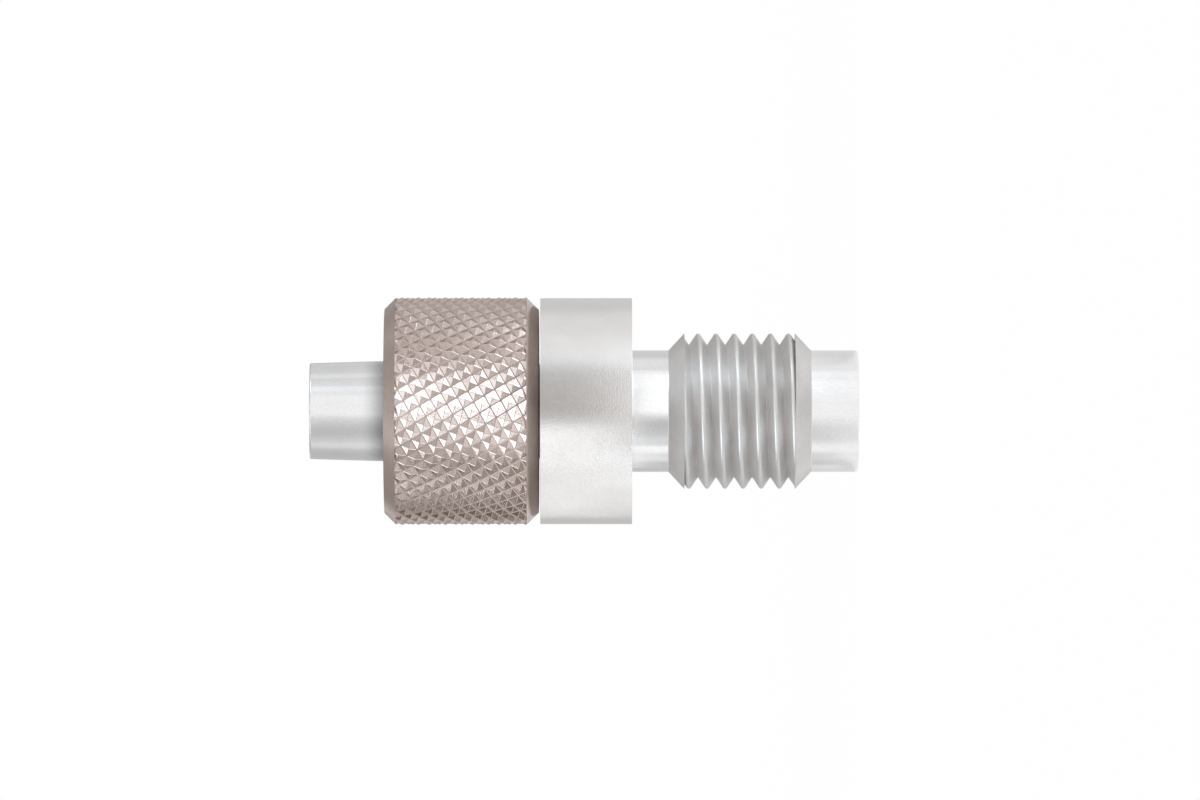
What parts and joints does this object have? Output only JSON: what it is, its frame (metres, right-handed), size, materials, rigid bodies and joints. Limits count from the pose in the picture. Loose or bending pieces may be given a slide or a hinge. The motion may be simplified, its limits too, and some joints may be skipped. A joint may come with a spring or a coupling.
{
  "type": "luer lock adapter",
  "caption": "Male luer taper with a diamond-knurled turning lock nut on a round flange, and a male fine thread with a plain pilot behind it for a threaded port.",
  "frame": {"origin": "centre of the pilot's end face, on the turning axis, where the part stands", "axes": "+Z along the turning axis, from the pilot towards the luer tip; the adapter is turned, so X and Y are alike"},
  "size_m": [0.0094, 0.0094, 0.0227],
  "materials": {
    "body_steel": "turned stainless steel, satin on the flange and bright on the neck, thread and pilot",
    "cone_steel": "finely turned stainless steel",
    "nut_plating": "plated brass, grey-brown, bright on the knurl's points"
  },
  "bodies": {
    "adapter": {"adapter_body": "body_steel", "luer_cone": "cone_steel"},
    "nut": {"lock_nut": "nut_plating"}
  },
  "joints": [
    {"name": "nut_turn", "type": "hinge", "parent": "adapter", "child": "nut", "pos_m": [0, 0, 0.01368], "axis": [0, 0, 1], "continuous": true}
  ]
}
